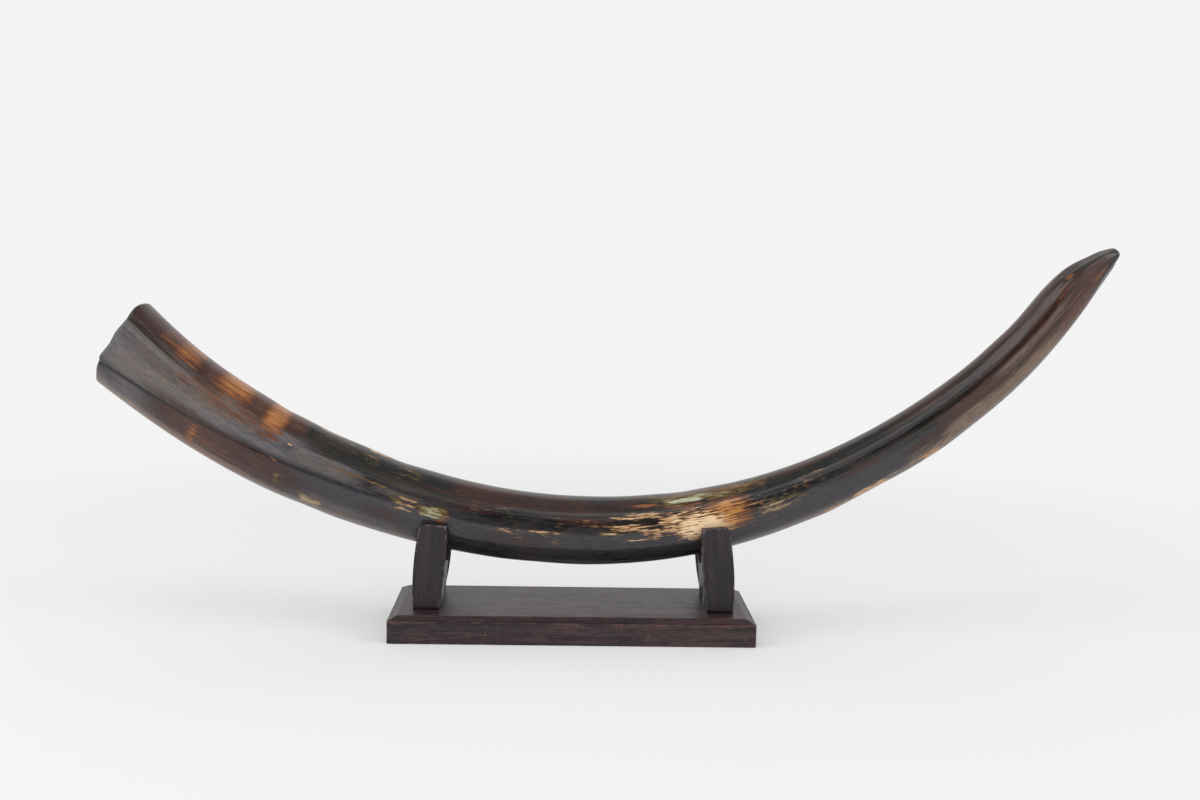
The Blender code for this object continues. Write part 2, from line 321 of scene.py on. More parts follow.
MAROON = (
    (0.045, 14, 0.040, 34, 0.50),
    (0.126, 14, 0.019, 44, 0.95),
    (0.185, 16, 0.022, 44, 0.90),
    (0.226, 16, 0.015, 34, 0.90),
    (0.150, 58, 0.080, 16, 0.14),
    (0.170, 118, 0.090, 28, 0.72),
    (0.345, 112, 0.028, 12, 0.36),
    (0.440, 22, 0.036, 34, 0.55),
    (0.520, 26, 0.060, 22, 0.32),
    (0.480, 46, 0.120, 5, 0.45),
    (0.545, 66, 0.026, 8, 0.44),
    (0.440, 62, 0.030, 9, 0.36),
    (0.480, 104, 0.040, 10, 0.36),
    (0.590, 34, 0.026, 10, 0.50),
    (0.655, 4, 0.060, 18, 0.66),
    (0.715, 28, 0.030, 10, 0.46),
    (0.795, 16, 0.050, 16, 0.55),
    (0.850, 84, 0.030, 8, 0.45),
    (0.930, 108, 0.040, 12, 0.55),
    (0.985, 94, 0.050, 22, 0.62),
    (0.960, 16, 0.070, 28, 0.50),
    (1.070, 50, 0.090, 34, 0.40),
    (1.085, 12, 0.080, 20, 0.62),
    (1.085, 84, 0.060, 13, 0.72),
    (1.100, 126, 0.070, 28, 0.90),
    (1.160, 84, 0.030, 26, 0.62),
    (0.160, -80, 0.120, 60, 0.45),
    (1.020, -90, 0.160, 70, 0.60),
)
TAN = (
    (0.070, 86, 0.050, 12, 0.34),
    (0.150, 62, 0.070, 16, 0.55),
    (0.130, 76, 0.050, 10, 0.45),
    (0.140, 149, 0.100, 13, 1.00),
    (1.070, 85, 0.060, 13, 0.55),
    (0.330, 150, 0.120, 10, 0.50),
    (0.925, 128, 0.040, 16, 0.60),
    (0.975, 126, 0.050, 22, 0.90),
    (1.040, 128, 0.060, 22, 0.80),
    (0.980, -130, 0.100, 40, 0.60),
)
TUSK_PATCHES = {
    "cream": CREAM,
    "pale": CREAM_PALE,
    "mint": MINT,
    "fleck": FLECKS,
    "band": BANDS,
    "slate": SLATE,
    "lilac_and_sheen": LILAC_AND_SHEEN,
    "maroon": MAROON,
    "tan": TAN,
}

# Stand: a base board with a raised, bevelled top and two notched uprights, with the part's sizes.
BASE_SIDE_HEIGHT = 0.0232
BASE_LEDGE = 0.0012
BASE_BEVEL = 0.0082
BASE_RISE = 0.0042
BASE_TOP = BASE_SIDE_HEIGHT + BASE_RISE
BASE_CORNER = 0.0015
UPRIGHT_THICKNESS = 0.028
UPRIGHT_DEPTH = 0.090
UPRIGHT_HEIGHT = 0.0865
UPRIGHT_LEAN = math.radians(4.8)
UPRIGHT_SHOULDER = 0.006
# Unlike the solid's, an upright's broad faces are bowed, and its foot is a little thinner.
UPRIGHT_BOW = 0.0022
FOOT_TAPER = 0.0015
LEFT_INNER_X = -0.1355
RIGHT_INNER_X = 0.1385
NOTCH_HALF_ANGLE = math.radians(51)
NOTCH_SIDE_ROOM = 0.001
NOTCH_REACH = 0.060
GAP = 0.0003
# Fine rounding and wear of the stand's edges.
BASE_EASE = 0.0007
BASE_FOOT_EASE = 0.0013
BASE_UNDERSIDE_RING = 0.0060
BASE_TOP_RING = 0.0120
BASE_LEAST_CORNER = 0.0003
BASE_LONG_STEPS = 120
BASE_SHORT_STEPS = 50
UPRIGHT_EASE = 0.0009
UPRIGHT_ROUND = 0.0014
NOTCH_MOUTH_EASE = 0.0007
NOTCH_CORNER_EASE = 0.0024
NOTCH_BOTTOM_EASE = 0.0010
FACE_INSETS = (0.0030, 0.0022, 0.0015)
WEAR_REACH = 0.0030
TOP_EDGE_SPARED = 0.0012
# Painted shade: dark lines in the corner at the foot of the bevel and along the foot of each upright,
# where it meets the base.
BEVEL_FOOT_REACH = 0.0010
UPRIGHT_FOOT_REACH = 0.0012
NICK_DEPTH = 0.0005
NICK_LENGTHS = (0.012, 0.004, 0.004)
# Stained wood: its red, its dark and its worn colour.
BASE_WOOD = ((0.064, 0.036, 0.036), (0.022, 0.015, 0.017), (0.12, 0.052, 0.042))
UPRIGHT_WOOD = ((0.033, 0.026, 0.031), (0.020, 0.0165, 0.0205), (0.17, 0.130, 0.125))
# The colour of the painted shade at the foot of the bevel and of the uprights.
HOLLOW_SHADE_COLOUR = (0.007, 0.005, 0.006)

# Studio. The floor fades away between two distances.
FLOOR_RADIUS = 4.0
FLOOR_FADES = (0.50, 1.55)
FLOOR_ALBEDO = 0.82
# The floor glows a little, so that the shadow under the base stays pale.
FLOOR_GLOW = 0.86
FLOOR_GLOW_SHARE = 0.28
# The world: its radiances, and where it changes from one to another, by height or depth.
BACKDROP = 0.90
WORLD_WALLS = 0.96
WORLD_CEILING = 0.50
WORLD_BACK = 0.14
CEILING_BEGINS = (0.70, 0.85)
GLOW_BEGINS = (0.20, 0.45)
GLOW_ENDS = (0.66, 0.82)
GLOW_DEPTHS = (0.1, 0.5)
LIGHT_TINT = (1.0, 0.975, 1.05)
# A black card round the camera, seen in reflections alone: half width, height and distance.
CARD = (0.43, 1.75, 1.75)
# Softboxes: (name, place, what it faces, width, height, radiance, whether reflections show it).
SOFTBOXES = (
    ("key", (-0.11, -1.01, 2.10), (-0.11, -1.01, 0), 0.60, 0.46, 1.40, True),
    ("key_left", (-0.74, -0.78, 2.10), (-0.74, -0.78, 0), 0.66, 1.60, 1.55, True),
    ("left", (-1.95, -0.79, 1.135), (0, 0, 0.2), 1.3, 1.3, 2.4, False),
    ("right", (1.95, -0.79, 1.135), (0, 0, 0.2), 1.3, 1.3, 2.4, False),
)


class Nodes:
    """Short ways to add and join a material's or a world's shader nodes."""

    def __init__(self, owner):
        owner.use_nodes = True
        self.tree = owner.node_tree
        self.tree.nodes.clear()

    def add(self, kind, **settings):
        made = self.tree.nodes.new("ShaderNode" + kind)
        for key, value in settings.items():
            setattr(made, key, value)
        return made

    def join(self, value, socket):
        """Links a node's output to a socket, or sets the socket to a number or a colour."""
        if isinstance(value, bpy.types.NodeSocket):
            self.tree.links.new(value, socket)
        elif isinstance(value, (int, float)):
            socket.default_value = value
        else:
            socket.default_value = (*value, 1) if len(socket.default_value) == 4 else value

    def math(self, operation, first, second):
        made = self.add("Math", operation=operation)
        self.join(first, made.inputs[0])
        self.join(second, made.inputs[1])
        return made.outputs[0]

    def step(self, value, low, high, start=0.0, end=1.0):
        """Goes smoothly from start to end as value goes from low to high."""
        made = self.add("MapRange", interpolation_type="SMOOTHSTEP")
        for i, item in enumerate((value, low, high, start, end)):
            self.join(item, made.inputs[i])
        return made.outputs[0]

    def mix(self, share, first, second):
        made = self.add("Mix", data_type="RGBA", clamp_factor=True)
        self.join(share, made.inputs["Factor"])
        self.join(first, made.inputs[6])
        self.join(second, made.inputs[7])
        return made.outputs[2]

    def attribute(self, name, output="Fac"):
        return self.add("Attribute", attribute_name=name).outputs[output]

    def scaled(self, vector, lengths):
        """The vector in units of these lengths, so that noise is drawn out along the longest."""
        made = self.add("VectorMath", operation="MULTIPLY")
        self.join(vector, made.inputs[0])
        made.inputs[1].default_value = [1 / length for length in lengths]
        return made.outputs[0]

    def noise(self, vector, lengths, detail=3.0, roughness=0.55, distortion=0.0):
        made = self.add("TexNoise")
        self.join(self.scaled(vector, lengths), made.inputs["Vector"])
        made.inputs["Scale"].default_value = 1
        made.inputs["Detail"].default_value = detail
        made.inputs["Roughness"].default_value = roughness
        made.inputs["Distortion"].default_value = distortion
        return made.outputs["Fac"]

    def sum(self, first, *more):
        for item in more:
            first = self.math("ADD", first, item)
        return first

    def weighted(self, value, middle, weight):
        """How far value is from middle, times weight."""
        return self.math("MULTIPLY", self.math("SUBTRACT", value, middle), weight)

    def bump(self, height, distance):
        made = self.add("Bump")
        made.inputs["Strength"].default_value = 1
        made.inputs["Distance"].default_value = distance
        self.join(height, made.inputs["Height"])
        return made.outputs[0]

    def surface(self, **inputs):
        """A Principled BSDF to the output. An input's name has _ for each space."""
        shader = self.add("BsdfPrincipled")
        for key, value in inputs.items():
            self.join(value, shader.inputs[key.replace("_", " ")])
        output = self.add("OutputMaterial")
        self.tree.links.new(shader.outputs[0], output.inputs["Surface"])


def smooth_curve(knots, values, places):
    """A natural cubic spline through values at knots, read at places."""
    count = len(knots)
    step = np.diff(knots)
    system = np.eye(count)
    right = np.zeros((count, values.shape[1]))
    for i in range(1, count - 1):
        system[i, i - 1 : i + 2] = step[i - 1], 2 * (step[i - 1] + step[i]), step[i]
        rise = (values[i + 1] - values[i]) / step[i]
        right[i] = 6 * (rise - (values[i] - values[i - 1]) / step[i - 1])
    bend = np.linalg.solve(system, right)
    span = np.clip(np.searchsorted(knots, places, side="right") - 1, 0, count - 2)
    width = step[span][:, None]
    b = (places[:, None] - knots[span][:, None]) / width
    a = 1 - b
    straight = a * values[span] + b * values[span + 1]
    curved = (a**3 - a) * bend[span] + (b**3 - b) * bend[span + 1]
    return straight + curved * width**2 / 6


class Axis:
    """The tusk's axis: points, frames and radii at arrays of distances along it."""

    def __init__(self):
        self.rows = np.array(STATIONS)
        legs = np.linalg.norm(np.diff(self.rows[:, :3], axis=0), axis=1)
        self.knots = np.concatenate([[0], np.cumsum(legs)])
        self.length = self.knots[-1]

    def read(self, places):
        return smooth_curve(self.knots, self.rows, np.clip(places, 0, self.length))

    def at_x(self, x):
        places = np.linspace(0, self.length, AXIS_SAMPLES)
        return float(np.interp(x, self.read(places)[:, 0], places))

    def at(self, places):
        """The points, the section's top and front directions, and the radii."""
        small = 0.0005
        here = self.read(places)
        along = (self.read(places + small) - self.read(places - small))[:, :3]
        along /= np.linalg.norm(along, axis=1)[:, None]
        front = np.array([0, -1, 0]) + along * along[:, 1:2]
        front /= np.linalg.norm(front, axis=1)[:, None]
        return here[:, :3], np.cross(front, along), front, here[:, 3]


def bump(offset, half_width):
    """1 in the middle, falling off as a bell."""
    return np.exp(-((offset / half_width) ** 2))


def plateau(offset, half_width):
    """Like bump, but flat in the middle, with steeper sides."""
    return np.exp(-((offset / half_width) ** 4))


def turn_between(angle, other):
    """The angle from other to angle, in degrees, from -180 to 180."""
    return (angle - other + 180) % 360 - 180


def fade(place, length):
    """1 at the root, falling smoothly to 0 at length."""
    share = np.clip(place / length, 0, 1)
    return (1 - share) ** 2 * (1 + 2 * share)


def crease_path(place, crease):
    """The crease's angle at each place, and how strong it is there."""
    start, end, length = crease[:3]
    share = np.minimum(place / length, 1)
    return start + (end - start) * np.sin(share * math.pi / 2), fade(place, length) ** 0.6


def relief(place, angle):
    """How far the creases, flats and swells set the surface off its round section."""
    height = np.zeros_like(place)
    for crease in CREASES:
        middle, strength = crease_path(place, crease)
        height -= crease[3] * strength * bump(turn_between(angle, middle), crease[4])
    for middle, width, length, depth in FLATS:
        height -= depth * fade(place, length) * bump(turn_between(angle, middle), width)
    for at, middle, rise, length, width in SWELLS:
        height += rise * bump(place - at, length) * bump(turn_between(angle, middle), width)
    return height


def worn_reach(place, angle, reach):
    """The distance from the axis after the tip's facets are cut flat."""
    for middle, start, depth in TIP_FACETS:
        worn = depth * np.clip((place - start) / FACET_ONSET, 0, 1)
        slant = np.cos(np.radians(turn_between(angle, middle)))
        cut = (reach - worn) / np.maximum(slant, FACET_REACH)
        flat = np.where(slant > FACET_REACH, cut, np.inf)
        reach = np.where(worn > 0, np.minimum(reach, flat), reach)
    return reach


def groove(place, angle):
    """How deep in the narrow line at the bottom of a crease each point is, from 0 to 1."""
    deep = np.zeros_like(place)
    lines = [(row, 1.0) for row in CREASES] + [(row, FINE_SHARE) for row in FINE_LINES]
    for crease, share in lines:
        middle, strength = crease_path(place, crease)
        line = bump(turn_between(angle, middle), GROOVE_HALF_WIDTH)
        deep = np.maximum(deep, share * strength**0.5 * line)
    return deep


def root_place(angle):
    """Where the root's cut end meets the surface at an angle round the section."""
    place = ROOT_CUT - ROOT_CUT_LEAN * np.cos(np.radians(angle))
    for middle, reach, width in RIM_LOBES:
        place = place - reach * bump(turn_between(angle, middle), width)
    return place


def grain_space(place, angle):
    """Coordinates for noise that follow the tusk: along it, and round it without a seam."""
    turn = np.radians(angle)
    return np.stack([place, GRAIN_RADIUS * np.cos(turn), GRAIN_RADIUS * np.sin(turn)], axis=-1)


def noise_at(points, lengths):
    """Smooth noise from -1 to 1 at each point, drawn out by these lengths."""
    scaled = points / np.array(lengths)
    return np.array([noise.noise(Vector(point)) for point in scaled])


def tusk_grid(axis):
    """The grid of rings, root cavity to tip: its shape, and five values for each of its points.

    They are its place along the tusk, its angle, how far it is set in, its share of the section's
    width, and how much of it is pulp.
    """
    fine = np.arange(*FINE_ANGLES, FINE_TURN)
    others = TUSK_SIDES - len(fine)
    coarse = np.linspace(FINE_ANGLES[1], FINE_ANGLES[0] + 360, others, endpoint=False)
    angles = np.concatenate([fine, coarse])
    cut = root_place(angles)
    rows = []
    for share in np.linspace(1, 0, CAVITY_RINGS):
        width = CAVITY_RIM * (1 - share**CAVITY_POWER * CAVITY_TAPER)
        rows.append((cut + share * CAVITY_DEPTH, 0.0, width, 1.0))
    for width in CUT_WIDTHS:
        rows.append((cut, 0.0, width, CUT_PULP))
    for quarter in range(0, 91, 15):
        turn = math.radians(quarter)
        inset = RIM_ROUNDING * (1 - math.sin(turn))
        rows.append((cut + RIM_ROUNDING * (1 - math.cos(turn)), inset, 1.0, 0.0))
    start = ROOT_CUT + ROOT_CUT_LEAN + RIM_ROUNDING
    end = axis.length - TIP_ROUNDING
    for place in np.linspace(start, end, round((end - start) / RING_STEP))[1:]:
        blend = np.clip((place - start) / ROOT_BLEND, 0, 1)
        rows.append((place + (cut - ROOT_CUT) * (1 - blend) ** 2, 0.0, 1.0, 0.0))
    for quarter in range(15, 90, 15):
        turn = math.radians(quarter)
        places = np.full(TUSK_SIDES, end + TIP_ROUNDING * math.sin(turn))
        rows.append((places, 0.0, math.cos(turn), 0.0))
    places = np.array([row[0] for row in rows])
    columns = [places, angles] + [np.array([row[i] for row in rows])[:, None] for i in (1, 2, 3)]
    return places.shape, [np.broadcast_to(column, places.shape).ravel() for column in columns]


def patches(rows, place, angle):
    """The strongest of the patches at each point."""
    found = np.zeros_like(place)
    for middle, turn, length, width, strength in rows:
        here = plateau(place - middle, length) * plateau(turn_between(angle, turn), width)
        found = np.maximum(found, strength * here)
    return found


def set_attribute(mesh, name, values):
    """Writes one number or vector for each point, which a material reads by name."""
    kind = "FLOAT_VECTOR" if values.ndim == 2 else "FLOAT"
    made = mesh.attributes.new(name, kind, "POINT")
    made.data.foreach_set("vector" if values.ndim == 2 else "value", values.astype(np.float32).ravel())


def make_tusk(axis, material):
    """One fine mesh, from the bottom of the pulp cavity, over the rim, to the tip."""
    shape, (place, angle, inset, scale, inner) = tusk_grid(axis)
    middles, top, front, radius = axis.at(place)
    grain = grain_space(place, angle)
    outer = (1 - inner) * scale
    fine = WAVER * noise_at(grain, WAVER_LENGTHS)
    fine += FIBRE_RELIEF * noise_at(grain, FIBRE_LENGTHS)
    lines = groove(place, angle)
    height = relief(place, angle) + outer * (fine - GROOVE_DEPTH * lines)
    reach = scale * (worn_reach(place, angle, radius + height) - inset)
    turn = np.radians(angle)[:, None]
    points = middles + reach[:, None] * (np.cos(turn) * top + np.sin(turn) * front)

    bm = bmesh.new()
    rings = [[bm.verts.new(point) for point in ring] for ring in points.reshape(*shape, 3)]
    for ring, after in zip(rings, rings[1:]):
        for i in range(TUSK_SIDES):
            j = (i + 1) % TUSK_SIDES
            bm.faces.new((ring[i], ring[j], after[j], after[i]))
    end_places = np.array([ROOT_CUT + CAVITY_DEPTH + CAVITY_APEX, axis.length])
    ends = axis.read(end_places)[:, :3]
    for ring, point in ((rings[0], ends[0]), (rings[-1], ends[1])):
        pole = bm.verts.new(point)
        for i in range(TUSK_SIDES):
            bm.faces.new((ring[i], ring[(i + 1) % TUSK_SIDES], pole))
    bmesh.ops.recalc_face_normals(bm, faces=bm.faces)
    mesh = bpy.data.meshes.new("tusk_surface")
    bm.to_mesh(mesh)
    bm.free()
    mesh.shade_smooth()

    poles = np.array([[end, 0, 0] for end in end_places])
    set_attribute(mesh, "grain", np.concatenate([grain, poles]))
    set_attribute(mesh, "inside", np.concatenate([inner, [1, 0]]))
    # The groove's mask also paints shade into the crease lines.
    set_attribute(mesh, "groove", np.concatenate([lines * outer, [0, 0]]))
    for name, rows in TUSK_PATCHES.items():
        set_attribute(mesh, name, np.concatenate([patches(rows, place, angle), [0, 0]]))
    piece = bpy.data.objects.new("tusk_surface", mesh)
    bpy.context.scene.collection.objects.link(piece)
    mesh.materials.append(material)
    return piece


def ivory_material():
    """Polished fossil ivory: near-black, with streaks, bands and flaked pale patches."""
    material = bpy.data.materials.new("fossil_ivory_polished")
    n = Nodes(material)
    grain = n.attribute("grain", "Vector")
    fibre = n.noise(grain, (0.030, 0.0014, 0.0014), 2, 0.6)
    dash = n.noise(grain, (0.009, 0.0014, 0.0014), 3, 0.6)
    flake = n.noise(grain, (0.018, 0.0040, 0.0040), 3, 0.6, 0.2)
    streak = n.noise(grain, (0.040, 0.0055, 0.0055), 3, 0.55)
    cloud = n.noise(grain, (0.080, 0.018, 0.018), 3, 0.5)

    def field(name, **weights):
        """A painted attribute, broken up by the noises with these weights."""
        noises = {"fibre": fibre, "dash": dash, "flake": flake, "streak": streak, "cloud": cloud}
        parts = [n.weighted(noises[key], 0.5, weight) for key, weight in weights.items()]
        return n.sum(n.attribute(name), *parts)

    # The dark skin and its broad stains; the lilac grey among them is partly painted sheen and highlight.
    tone = n.step(n.sum(cloud, n.weighted(streak, 0.5, 0.8), n.weighted(dash, 0.5, 0.5)), 0.35, 0.65)
    colour = n.mix(tone, (0.006, 0.0075, 0.007), (0.020, 0.015, 0.010))
    slate = n.mix(n.step(dash, 0.35, 0.65), (0.029, 0.030, 0.036), (0.046, 0.041, 0.043))
    colour = n.mix(n.step(field("slate", streak=0.8, cloud=0.6, dash=0.4), 0.10, 0.90), colour, slate)
    patchy = n.step(n.sum(cloud, n.weighted(flake, 0.5, 1.0)), 0.30, 0.70)
    # Lilac grey: real stain on the flats, painted sheen along the underside and painted highlight at the
    # tip.
    lilac_and_sheen = n.mix(patchy, (0.088, 0.087, 0.098), (0.112, 0.092, 0.080))
    lilac_and_sheen = n.mix(n.step(dash, 0.40, 0.70, 0, 0.8), lilac_and_sheen, (0.165, 0.140, 0.128))
    colour = n.mix(n.step(field("lilac_and_sheen", streak=0.6, cloud=0.5), 0.10, 0.75), colour, lilac_and_sheen)
    maroon = field("maroon", streak=0.6, cloud=0.4, dash=0.9)
    colour = n.mix(n.step(maroon, 0.08, 0.50, 0, 0.9), colour, (0.040, 0.015, 0.011))
    colour = n.mix(n.step(maroon, 0.45, 1.10, 0, 0.95), colour, (0.088, 0.038, 0.025))
    tan = n.mix(n.step(dash, 0.35, 0.65), (0.125, 0.084, 0.060), (0.195, 0.132, 0.094))
    stain = field("tan", streak=0.7, cloud=0.5, dash=0.4)
    colour = n.mix(n.step(stain, 0.15, 0.90, 0, 0.95), colour, tan)
    colour = n.mix(n.step(stain, 0.90, 1.40), colour, (0.320, 0.205, 0.140))

    # The orange growth bands, from their brown margins inwards.
    band = field("band", dash=0.9, fibre=2.2, flake=0.4)
    band = n.math("MULTIPLY", band, n.step(n.attribute("band"), 0.02, 0.20))
    colour = n.mix(n.step(band, 0.10, 0.45, 0, 0.85), colour, (0.105, 0.037, 0.017))
    colour = n.mix(n.step(band, 0.40, 0.85), colour, (0.225, 0.078, 0.022))
    colour = n.mix(n.step(band, 0.80, 1.20), colour, (0.380, 0.160, 0.052))

    # Thin flecks, some olive and some orange.
    fleck = field("fleck", dash=2.2, flake=1.0, fibre=0.6)
    warmth = n.mix(n.step(cloud, 0.38, 0.54), (0.160, 0.120, 0.062), (0.240, 0.110, 0.045))
    colour = n.mix(n.step(fleck, 0.95, 1.40, 0, 0.85), colour, warmth)

    # Greenish places, with ochre round them.
    mint = field("mint", flake=1.2, dash=1.7, fibre=0.7)
    colour = n.mix(n.step(mint, 0.25, 0.75, 0, 0.85), colour, (0.130, 0.080, 0.022))
    colour = n.mix(n.step(mint, 0.60, 0.95, 0, 0.8), colour, (0.210, 0.180, 0.085))
    colour = n.mix(n.step(mint, 0.85, 1.20), colour, (0.450, 0.470, 0.330))

    # Flaked places: a brown margin, ivory inside it, and the palest ivory in the middle.
    cream = field("cream", flake=1.2, dash=0.9, fibre=1.3)
    colour = n.mix(n.step(cream, 0.40, 0.62, 0, 0.85), colour, (0.140, 0.062, 0.026))
    flesh = n.mix(n.step(dash, 0.38, 0.62), (0.290, 0.150, 0.060), (0.500, 0.305, 0.155))
    flesh = n.mix(n.step(field("band", dash=0.8), 0.15, 0.75), flesh, (0.450, 0.200, 0.062))
    greenish = n.mix(n.step(n.attribute("mint"), 0.1, 0.5), flesh, (0.330, 0.275, 0.160))
    colour = n.mix(n.step(cream, 0.54, 0.74), colour, greenish)
    palest = n.step(field("pale", dash=1.1, fibre=0.8), 0.20, 0.95)
    palest = n.math("MULTIPLY", palest, n.step(cream, 0.60, 0.85))
    colour = n.mix(palest, colour, (0.840, 0.610, 0.370))

    # Painted shade in the dark lines along the bottoms of the creases, and the pulp inside the root.
    colour = n.mix(n.step(n.attribute("groove"), 0.15, 0.8, 0, 0.85), colour, (0.010, 0.008, 0.007))
    pulp = n.mix(n.step(flake, 0.35, 0.65), (0.050, 0.036, 0.026), (0.190, 0.140, 0.095))
    colour = n.mix(n.attribute("inside"), colour, pulp)

    roughness = n.sum(n.step(flake, 0.3, 0.7, 0.38, 0.55), n.math("MULTIPLY", n.attribute("inside"), 0.35))
    height = n.sum(n.weighted(fibre, 0.5, 0.4), n.weighted(flake, 0.5, 0.6))
    n.surface(
        Base_Color=colour,
        Roughness=roughness,
        Specular_IOR_Level=0.0,
        Coat_Weight=n.step(n.attribute("inside"), 0, 1, 0.70, 0),
        Coat_Roughness=0.15,
        Coat_IOR=1.62,
        Normal=n.bump(height, 0.0002),
    )
    return material


def rounded_path(corners, closed):
    """Points along a path of corners, each (across, up, radius, steps on to the next corner)."""
    arcs = []
    count = len(corners)
    for i, (across, up, radius, _) in enumerate(corners):
        here = Vector((across, up))
        if radius == 0:
            arcs.append([here])
            continue
        before, after = (Vector(corners[k % count][:2]) for k in (i - 1, i + 1))
        start = here + (before - here).normalized() * radius
        end = here + (after - here).normalized() * radius
        shares = (0, 0.25, 0.5, 0.75, 1)
        arcs.append([start.lerp(here, s).lerp(here.lerp(end, s), s) for s in shares])
    points = []
    for i, arc in enumerate(arcs):
        points += arc
        if closed or i + 1 < count:
            target = arcs[(i + 1) % count][0]
            steps = corners[i][3]
            points += [arc[-1].lerp(target, k / steps) for k in range(1, steps)]
    return np.array([point[:] for point in points])


def loft(name, rings, material):
    """A piece of quads between closed rings of points, with a flat face on its two ends."""
    bm = bmesh.new()
    rows = [[bm.verts.new(point) for point in ring] for ring in rings]
    count = len(rows[0])
    for row, after in zip(rows, rows[1:]):
        for i in range(count):
            j = (i + 1) % count
            bm.faces.new((row[i], row[j], after[j], after[i]))
    bm.faces.new(rows[0])
    bm.faces.new(rows[-1])
    bmesh.ops.recalc_face_normals(bm, faces=bm.faces)
    mesh = bpy.data.meshes.new(name)
    bm.to_mesh(mesh)
    bm.free()
    mesh.materials.append(material)
    mesh.shade_smooth()
    piece = bpy.data.objects.new(name, mesh)
    bpy.context.scene.collection.objects.link(piece)
    return piece


def second_smallest(distances):
    """The distance to the nearest edge, from the distances to the faces that meet there."""
    return np.sort(np.abs(np.array(distances)), axis=0)[1]


def finish_wood(name, rings, away, hollow_shade, grain, material):
    """A lofted wooden piece with its edges rubbed down, and what its material reads."""
    edge = bump(away, WEAR_REACH)
    points = np.concatenate(rings)
    inward = points.mean(axis=0) - points
    inward /= np.linalg.norm(inward, axis=1)[:, None]
    rub = NICK_DEPTH * edge * np.clip(noise_at(grain, NICK_LENGTHS) - 0.05, 0, 1)
    points = points + rub[:, None] * inward
    piece = loft(name, points.reshape(len(rings), -1, 3), material)
    set_attribute(piece.data, "edge", edge)
    # This mask marks where the material paints shade.
    set_attribute(piece.data, "hollow_shade", hollow_shade)
    set_attribute(piece.data, "grain", grain)
    return piece


def make_base(material):
    """The base board: its outline at each height and inset of its profile."""
    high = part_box("base_board")[1]
    shoulder = BASE_LEDGE + BASE_BEVEL
    profile = rounded_path(
        (
            (BASE_UNDERSIDE_RING, 0, 0, 4),
            (0, 0, BASE_FOOT_EASE, 12),
            (0, BASE_SIDE_HEIGHT, BASE_EASE, 2),
            (BASE_LEDGE, BASE_SIDE_HEIGHT, 0, 7),
            (shoulder, high.z, BASE_EASE, 9),
            (shoulder + BASE_TOP_RING, high.z, 0, 1),
        ),
        closed=False,
    )
    rings = []
    for inset, up in profile:
        half_x, half_y = high.x - float(inset), high.y - float(inset)
        round_off = max(BASE_CORNER - float(inset), BASE_LEAST_CORNER)
        corners = [
            (half_x, half_y, round_off, BASE_LONG_STEPS),
            (-half_x, half_y, round_off, BASE_SHORT_STEPS),
            (-half_x, -half_y, round_off, BASE_LONG_STEPS),
            (half_x, -half_y, round_off, BASE_SHORT_STEPS),
        ]
        outline = rounded_path(corners, closed=True)
        rings.append(np.column_stack([outline, np.full(len(outline), up)]))
    x, y, z = np.concatenate(rings).T
    side_x, side_y = high.x - np.abs(x), high.y - np.abs(y)
    bevel_slope = math.hypot(BASE_BEVEL, BASE_RISE)
    bevel = [
        (BASE_BEVEL * (z - BASE_SIDE_HEIGHT) - BASE_RISE * (side - BASE_LEDGE)) / bevel_slope
        for side in (side_x, side_y)
    ]
    away = second_smallest([side_x, side_y, z, high.z - z, *bevel])
    away += TOP_EDGE_SPARED * (z > BASE_SIDE_HEIGHT + BASE_RISE / 2)
    side = np.minimum(side_x, side_y)
    away = np.minimum(away, np.hypot(side, z - BASE_SIDE_HEIGHT))
    # Painted shade in the corner at the foot of the bevel.
    hollow_shade = bump(np.hypot(side - BASE_LEDGE, z - BASE_SIDE_HEIGHT), BEVEL_FOOT_REACH)
    grain = np.stack([x, y, z], axis=1)
    return finish_wood("base_board_surface", rings, away, hollow_shade, grain, material)


def upright_matrix(inner_x, side):
    """The leaning board's own frame: X out through its thickness, Z up along it."""
    lean = Matrix.Rotation(-side * UPRIGHT_LEAN, 4, "Y")
    return Matrix.Translation((inner_x, 0, BASE_TOP + GAP)) @ lean


def bowed_depth(through, up):
    """Where a plain board's depth through its thickness lies once its faces are bowed."""
    share = np.clip(up / UPRIGHT_HEIGHT, 0, 1)
    out = UPRIGHT_BOW * np.sin(math.pi * share) - FOOT_TAPER * (1 - share) ** 6
    middle = UPRIGHT_THICKNESS / 2
    return np.sign(through) * (middle + (np.abs(through) - middle) * (1 + out / middle))


